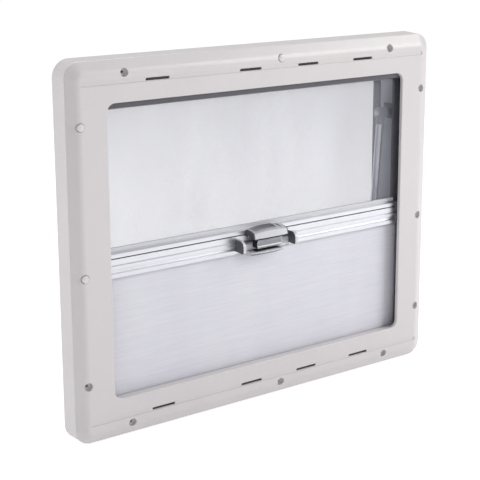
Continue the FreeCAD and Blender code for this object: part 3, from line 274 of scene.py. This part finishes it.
ALONG, UPRIGHT = (0.012, 1, 1), (1, 1, 0.012)
FINISHES = {
    "frame": moulded(
        "frame_moulding", srgb(224, 219, 219), 0.34, 1500, 0.000012, 0.018,
        Coat_Weight=0.3, Coat_Roughness=0.18,
    ),
    "outer": moulded("outer_frame_moulding", srgb(224, 225, 230), 0.5, 1100, 0.00002, 0.05),
    # The cap finish is the screw caps' own colour and is also used to paint light on the blind
    # cassette's top faces.
    "caps": moulded("cap_moulding_and_painted_light", srgb(228, 224, 224), 0.38, 1600, 0.00001, 0.02),
    "tape": rubber("sealing_tape", srgb(52, 52, 55), 0.9),
    # The seal rubber finish is the gaskets' own colour and is also used to paint shadows on the
    # latch and in the screen bar's slot.
    "seal": rubber("seal_rubber", srgb(34, 34, 37), 0.62),
    "acrylic": clear_acrylic(),
    "border": moulded("border_strip", srgb(30, 30, 33), 0.45, 900, 0.00002, 0.06),
    "bars": drawn_metal("bright_extrusion", srgb(236, 236, 241), 0.34, ALONG, 0.000008, 0.05),
    "hinge": drawn_metal("anodised_extrusion", srgb(205, 206, 211), 0.34, ALONG, 0.000008),
    "steel": drawn_metal("zinc_steel", srgb(226, 227, 232), 0.26, UPRIGHT, 0.000006),
    "dark": moulded("dark_moulding", srgb(86, 87, 92), 0.46, 1000, 0.00002, 0.05),
    "rail": moulded("guide_rail_moulding", srgb(92, 92, 98), 0.5, 900, 0.00002, 0.06),
    "grey": moulded("grey_moulding", srgb(152, 153, 158), 0.44, 1100, 0.00002, 0.04),
    "latch": moulded(
        "latch_moulding", srgb(222, 222, 226), 0.24, 1700, 0.000006, 0.02,
        Coat_Weight=0.4, Coat_Roughness=0.12,
    ),
    # The grey lever finish is the lever's own colour and is also used to paint shade on the flap's
    # underside.
    "lever": moulded(
        "lever_moulding_and_painted_shade", srgb(150, 151, 157), 0.3, 1300, 0.00001, 0.03, Coat_Weight=0.2,
    ),
    "mesh": fly_mesh(),
    "cloth": blind_cloth(),
    "pile": brush_pile(),
}

NODE_FINISH = {
    "frame": ["inner_frame"],
    "caps": ["screw_caps"],
    "steel": [
        "frame_screws",
        "stay_pivot_pins",
        *(f"stay_{part}_{side}" for part in ("tube", "rod") for side in ("left", "right")),
    ],
    "outer": ["outer_frame"],
    "tape": ["wall_seal"],
    "seal": ["sash_gasket"],
    "acrylic": ["pane_inner", "pane_outer"],
    "border": ["pane_spacer"],
    "hinge": ["sash_hinge_profile", "hinge_rail", "screen_roller_tube", "blind_roller_tube"],
    "bars": ["screen_bar", "blind_bar", "front_rail_left", "front_rail_right"],
    "rail": ["guide_rail_left", "guide_rail_right", "screen_cassette", "blind_cassette"],
    "pile": ["guide_pile"],
    "dark": [
        "screen_cassette_caps",
        "blind_cassette_caps",
        "screen_roller_plugs",
        "blind_roller_plugs",
        "grip_side_plates",
        "latch_cheeks",
        "stay_frame_brackets",
        "stay_sash_lugs",
        "catch_bases",
        "catch_keepers",
        "catch_lever_left",
        "catch_lever_right",
        *(f"stay_collar_{side}" for side in ("left", "right")),
    ],
    "grey": [
        "screen_bar_guides",
        "blind_bar_guides",
        *(f"stay_{part}_{side}" for part in ("head", "foot") for side in ("left", "right")),
    ],
    "latch": ["screen_grip", "latch_housing", "blind_flap", "screen_welt"],
    "lever": ["latch_lever"],
    "mesh": ["screen_mesh", "screen_wound"],
    "cloth": ["blind_fabric", "blind_wound"],
}
for finish, names in NODE_FINISH.items():
    for name in names:
        NODES[name].data.materials.clear()
        NODES[name].data.materials.append(FINISHES[finish])

# ---------------------------------------------------------------- camera, lights, floor


def at(name, data, place, turn):
    thing = bpy.data.objects.new(name, data)
    thing.location = place
    thing.rotation_euler = turn
    bpy.context.scene.collection.objects.link(thing)
    return thing


def look(place, target):
    return (Vector(target) - Vector(place)).to_track_quat("-Z", "Y").to_euler()


lens = bpy.data.cameras.new("camera")
lens.lens = 90.07
lens.sensor_width = 36
lens.shift_y = -0.15
lens.clip_start, lens.clip_end = 0.05, 50
CAMERA_TURN = (math.radians(77.775), math.radians(0.239), math.radians(-34.653))
bpy.context.scene.camera = at("camera", lens, (-1.012, -1.4363, 0.4638), CAMERA_TURN)


def soft_light(name, place, target, size, power, tint=(1, 1, 1)):
    lamp = bpy.data.lights.new(name, "AREA")
    lamp.shape = "RECTANGLE"
    lamp.size, lamp.size_y = size
    lamp.energy = power
    lamp.color = tint
    return at(name, lamp, place, look(place, target))


soft_light("key", (2.2, -2.0, 1.3), (0, 0, 0), (1.8, 1.8), 48)
soft_light("side", (-2.5, 1.4, 0.5), (0, 0, 0), (1.4, 1.6), 17)
soft_light("top", (0, 0.9, 2.2), (0, 0, 0), (2.4, 0.9), 24)

world = bpy.data.worlds.new("studio")
world.use_nodes = True
bpy.context.scene.world = world
sky = world.node_tree
soft = sky.nodes["Background"]
soft.inputs["Color"].default_value = (0.98, 0.985, 1, 1)
soft.inputs["Strength"].default_value = 0.43
seen = sky.nodes.new("ShaderNodeBackground")
seen.inputs["Color"].default_value = (1, 1, 1, 1)
seen.inputs["Strength"].default_value = 1.0
path = sky.nodes.new("ShaderNodeLightPath")
mix = sky.nodes.new("ShaderNodeMixShader")
sky.links.new(path.outputs["Is Camera Ray"], mix.inputs[0])
sky.links.new(soft.outputs[0], mix.inputs[1])
sky.links.new(seen.outputs[0], mix.inputs[2])
sky.links.new(mix.outputs[0], sky.nodes["World Output"].inputs["Surface"])

bpy.context.scene.view_settings.view_transform = "Standard"
bpy.context.scene.view_settings.look = "None"


def linked(name, mesh_work, finish=None):
    """An object at the origin from a bmesh, with its finish."""
    mesh = bpy.data.meshes.new(name)
    mesh_work.to_mesh(mesh)
    mesh_work.free()
    piece = bpy.data.objects.new(name, mesh)
    bpy.context.scene.collection.objects.link(piece)
    if finish:
        mesh.materials.append(FINISHES[finish])
    return piece


FLOOR_REACH = 9
FLOOR_GLOW_CAST, FLOOR_GLOW_SEEN = 0.12, 0.62


def studio_floor():
    """A pale floor that looks white and throws little light up at the frame."""
    made = Finish("studio_floor", Roughness=0.8, Emission_Color=(1, 1, 1, 1))
    seen_directly = made.node("ShaderNodeLightPath").outputs["Is Camera Ray"]
    glow = made.between(seen_directly, FLOOR_GLOW_CAST, FLOOR_GLOW_SEEN, 0, 1)
    made.tree.links.new(glow, made.shader.inputs["Emission Strength"])
    shade = made.between(made.noise(3, 3), 0, 1)
    made.colour(made.blend(shade, (0.92, 0.92, 0.93, 1), (0.95, 0.95, 0.955, 1)))
    work = bmesh.new()
    bmesh.ops.create_grid(work, x_segments=2, y_segments=2, size=FLOOR_REACH)
    bmesh.ops.translate(work, verts=work.verts, vec=(0, 0, CAD_LOW.z - MM))
    floor = linked("studio_floor", work)
    floor.data.materials.append(made.material)
    floor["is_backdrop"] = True


studio_floor()

# ---------------------------------------------------------------- fly screen and blind


def hanging_sheet(name, node, finish, waves, depth, columns, rows, thickness=0.0):
    """A sheet in its own plane, with a slight uneven drape into the room between its rails."""
    low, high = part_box(node)
    middle = (low + high) / 2
    work = bmesh.new()
    bmesh.ops.create_grid(work, x_segments=columns, y_segments=rows, size=0.5)
    bmesh.ops.scale(work, verts=work.verts, vec=(high.x - low.x, high.z - low.z, 1))
    upright = Matrix.Rotation(math.radians(90), 3, "X")
    bmesh.ops.rotate(work, verts=work.verts, cent=(0, 0, 0), matrix=upright)
    bmesh.ops.translate(work, verts=work.verts, vec=middle)
    for vertex in work.verts:
        across = (vertex.co.x - low.x) / (high.x - low.x)
        up = (vertex.co.z - low.z) / (high.z - low.z)
        held = 0
        if 0 < across < 1 and 0 < up < 1:
            held = math.sin(math.pi * across) ** 0.5 * math.sin(math.pi * up) ** 0.6
        ripple = sum(
            math.sin(2 * math.pi * (count * across + lag + bend * up)) * share
            for count, lag, bend, share in waves
        )
        vertex.co.y += depth * held * (ripple - 1) / 2
    piece = linked(name, work, finish)
    for polygon in piece.data.polygons:
        polygon.use_smooth = True
    if thickness:
        wall = piece.modifiers.new("thickness", "SOLIDIFY")
        wall.thickness = thickness
        wall.offset = 0
    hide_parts(node)
    return piece, low, high


# each wave: how many cross the sheet, its lag, how far it leans, its share of the depth
SCREEN_WAVES = ((3.1, 0.1, 0.12, 0.5), (5.3, 0.35, -0.2, 0.3), (8.7, 0.7, 0.1, 0.2))
BLIND_WAVES = ((2.2, 0.2, 0.3, 0.5), (3.7, 0.6, -0.3, 0.3), (6.1, 0.9, 0.4, 0.2))
screen, low, high = hanging_sheet(
    "fly_screen", "screen_mesh", "mesh", SCREEN_WAVES, 0.6 * MM, 90, 30
)
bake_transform(screen)
blind, low, high = hanging_sheet(
    "roller_blind", "blind_fabric", "cloth", BLIND_WAVES, 0.9 * MM, 90, 30, BLIND_THICKNESS
)
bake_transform(blind)

# ---------------------------------------------------------------- latch and bars


def creases(work, angle):
    """The edges where two faces meet at more than an angle in degrees."""
    return [
        edge for edge in work.edges
        if len(edge.link_faces) == 2 and edge.calc_face_angle() > math.radians(angle)
    ]


def lofted(name, node, outline, stations, finish, edge=0.0004, body=None, seam=30):
    """A closed outline carried along X. The outline is given as shares of a node's box (0 at the
    bar and at the foot, 1 at the front and at the top); each station gives a share of the
    length, then how deep and how tall the outline is there."""
    low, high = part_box(node)
    work = bmesh.new()
    size = high - low
    ring = [
        work.verts.new((low.x, high.y - deep * size.y, low.z + tall * size.z))
        for deep, tall in outline
    ]
    cap = work.faces.new(ring)
    foot = Vector((0, high.y, low.z))
    deep, tall = 1.0, 1.0
    for index, (share, deep_here, tall_here) in enumerate(stations):
        if index:
            grown = bmesh.ops.extrude_face_region(work, geom=[cap])["geom"]
            cap = next(part for part in grown if isinstance(part, bmesh.types.BMFace))
        verts = list(cap.verts)
        step = low.x + share * size.x - verts[0].co.x
        bmesh.ops.translate(work, verts=verts, vec=(step, 0, 0))
        factors = (1, deep_here / deep, tall_here / tall)
        bmesh.ops.scale(work, verts=verts, vec=factors, space=Matrix.Translation(-foot))
        deep, tall = deep_here, tall_here
    bmesh.ops.recalc_face_normals(work, faces=work.faces)
    sharp = creases(work, seam)
    bmesh.ops.bevel(
        work, geom=sharp, offset=edge, offset_type="OFFSET", segments=3, profile=0.5,
        affect="EDGES", material=-1, clamp_overlap=True,
    )
    piece = linked(name, work, finish)
    soften(piece)
    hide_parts(node)
    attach(piece, body)
    return piece


def soften(piece, angle=28):
    """Smooth shading that leaves flat faces flat between their small rounded edges."""
    for polygon in piece.data.polygons:
        polygon.use_smooth = True
    piece.data.set_sharp_from_angle(angle=math.radians(angle))
    weighted = piece.modifiers.new("flat_faces", "WEIGHTED_NORMAL")
    weighted.mode = "FACE_AREA"
    weighted.keep_sharp = True


def arch(count, drop_deep, drop_tall, power=2.0):
    """Stations along a piece whose middle stands proud of its ends."""
    stations = []
    for step in range(count + 1):
        share = step / count
        fall = abs(2 * share - 1) ** power
        stations.append((share, 1 - drop_deep * fall, 1 - drop_tall * fall))
    return stations


HOOD = [
    (0.0, 0.06), (0.0, 0.92), (0.05, 0.97), (0.21, 1.0), (0.58, 0.93), (0.885, 0.75), (0.915, 0.71),
    (1.0, 0.1), (0.985, 0.02), (0.94, 0.0), (0.74, 0.0), (0.68, 0.1), (0.62, 0.26), (0.17, 0.26),
    (0.17, 0.06),
]
LEVER = [
    (0.0, 0.08), (0.0, 0.82), (0.84, 0.9), (0.965, 0.91), (1.0, 0.86), (0.985, 0.77), (0.9, 0.69),
    (0.865, 0.5), (0.88, 0.32), (0.955, 0.22), (1.0, 0.16), (0.995, 0.08), (0.94, 0.04),
]
FLAP = [
    (0.0, 0.0), (0.0, 0.9), (0.9, 0.9), (0.985, 0.87), (1.0, 0.8), (0.99, 0.56), (0.96, 0.46),
    (0.86, 0.28), (0.7, 0.1), (0.55, 0.0),
]


def faced(piece, finish, chosen):
    """A second finish on the faces that look a chosen way."""
    piece.data.materials.append(FINISHES[finish])
    slot = len(piece.data.materials) - 1
    for polygon in piece.data.polygons:
        if chosen(polygon.normal):
            polygon.material_index = slot


lofted("grip_hood", "screen_grip", HOOD, arch(12, 0.03, 0.24, 2.4), "latch", body="screen_bar")
lever = lofted(
    "finger_lever", "latch_lever", LEVER, arch(8, 0.0, 0.0), "latch", 0.0003, "latch_lever"
)
# Painted shadow: the lever's top and its ends take the dark seal rubber finish, standing in for the
# shade in the gap under the hood. The flat front faces take the grey lever finish, and the sloped
# lips keep the light latch finish.
faced(lever, "seal", lambda normal: normal.z > 0.93 or abs(normal.x) > 0.9)
faced(lever, "lever", lambda normal: normal.y < -0.85 and abs(normal.z) < 0.5)
flap = lofted("lower_flap", "blind_flap", FLAP, arch(14, 0.22, 0.1, 2.6), "latch", body="blind_bar")
# Painted shade: the flap's faces that look downwards take the grey lever finish.
faced(flap, "lever", lambda normal: normal.z < -0.3)


def painted_gap_shadow(name, below, above, deep, body):
    """A painted shadow: a thin dark pad on top of the flap, under the lever, standing in for the
    shade in the gap.
    """
    low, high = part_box(below)
    near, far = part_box(above)
    work = bmesh.new()
    bmesh.ops.create_cube(work, size=1)
    thick, size = 0.3 * MM, (high.y - low.y) * deep
    bmesh.ops.scale(work, verts=work.verts, vec=(far.x - near.x, size, thick))
    place = ((near.x + far.x) / 2, high.y - size / 2, high.z - 0.1 * (high.z - low.z) + thick / 2)
    bmesh.ops.translate(work, verts=work.verts, vec=place)
    bmesh.ops.bevel(
        work, geom=list(work.edges), offset=0.1 * MM, offset_type="OFFSET", segments=2,
        profile=0.5, affect="EDGES", material=-1, clamp_overlap=True,
    )
    piece = linked(name, work, "seal")
    soften(piece)
    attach(piece, body)


# Painted shadow in the gap between the flap and the lever.
painted_gap_shadow("lever_gap_painted_shadow", "blind_flap", "latch_lever", 0.86, "blind_bar")


def end_plates(name, node, hood, outline, deep, tall, body):
    """Thin dark plates against both ends of the hood, inside its outline."""
    low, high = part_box(node)
    near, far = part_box(hood)
    thick = max(near.x - low.x, 0.8 * MM)
    work = bmesh.new()
    for start, turn in ((near.x - thick, 1), (far.x + thick, -1)):
        size = far - near
        ring = [
            work.verts.new((start, far.y - part * deep * size.y, near.z + rise * tall * size.z))
            for part, rise in outline
        ]
        side = work.faces.new(ring)
        grown = bmesh.ops.extrude_face_region(work, geom=[side])["geom"]
        verts = [part for part in grown if isinstance(part, bmesh.types.BMVert)]
        bmesh.ops.translate(work, verts=verts, vec=(turn * (thick - 0.02 * MM), 0, 0))
    bmesh.ops.recalc_face_normals(work, faces=work.faces)
    rims = creases(work, 60)
    bmesh.ops.bevel(
        work, geom=rims, offset=0.0002, offset_type="OFFSET", segments=2, profile=0.5,
        affect="EDGES", material=-1, clamp_overlap=True,
    )
    piece = linked(name, work, "dark")
    soften(piece)
    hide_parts(node)
    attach(piece, body)


end_plates("grip_end_plates", "grip_side_plates", "screen_grip", HOOD, 0.965, 0.745, "screen_bar")


SLOT_SHADOW_SET_BACK = 2.2 * MM


def strip(name, node, body, low_share, high_share, deep, finish, ends=0.0):
    """A thin inlay along a bar's front, between two shares of its height. Here it is used as a
    painted shadow in the bar's slot.
    """
    low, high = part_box(node)
    work = bmesh.new()
    bmesh.ops.create_cube(work, size=1)
    tall = (high_share - low_share) * (high.z - low.z)
    bmesh.ops.scale(work, verts=work.verts, vec=(high.x - low.x - 2 * ends, deep, tall))
    middle = low.z + (low_share + high_share) / 2 * (high.z - low.z)
    place = ((low.x + high.x) / 2, low.y + SLOT_SHADOW_SET_BACK + deep / 2, middle)
    bmesh.ops.translate(work, verts=work.verts, vec=place)
    bmesh.ops.bevel(
        work, geom=list(work.edges), offset=0.00012, offset_type="OFFSET", segments=2,
        profile=0.5, affect="EDGES", material=-1, clamp_overlap=True,
    )
    piece = linked(name, work, finish)
    soften(piece)
    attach(piece, body)


# Painted shadow: a dark strip in the seal rubber finish, set into the screen bar's slot where there
# is only shade.
strip("screen_bar_slot_painted_shadow", "screen_bar", "screen_bar", 0.465, 0.545, 0.0007, "seal", 0.0006)


def two_tone(node, side_finish, rim_finish):
    """Flat ends of a node in one finish and its rim in another."""
    mesh = NODES[node].data
    mesh.materials.clear()
    mesh.materials.append(FINISHES[side_finish])
    mesh.materials.append(FINISHES[rim_finish])
    for polygon in mesh.polygons:
        polygon.material_index = 0 if abs(polygon.normal.x) > 0.7 else 1


two_tone("latch_cheeks", "dark", "latch")
# Painted light: the blind cassette's faces that look up take the light cap finish, and the rest
# keeps the dark rail finish.
faced(NODES["blind_cassette"], "caps", lambda normal: normal.z > 0.5)

# ---------------------------------------------------------------- sizes and the end

low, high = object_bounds()
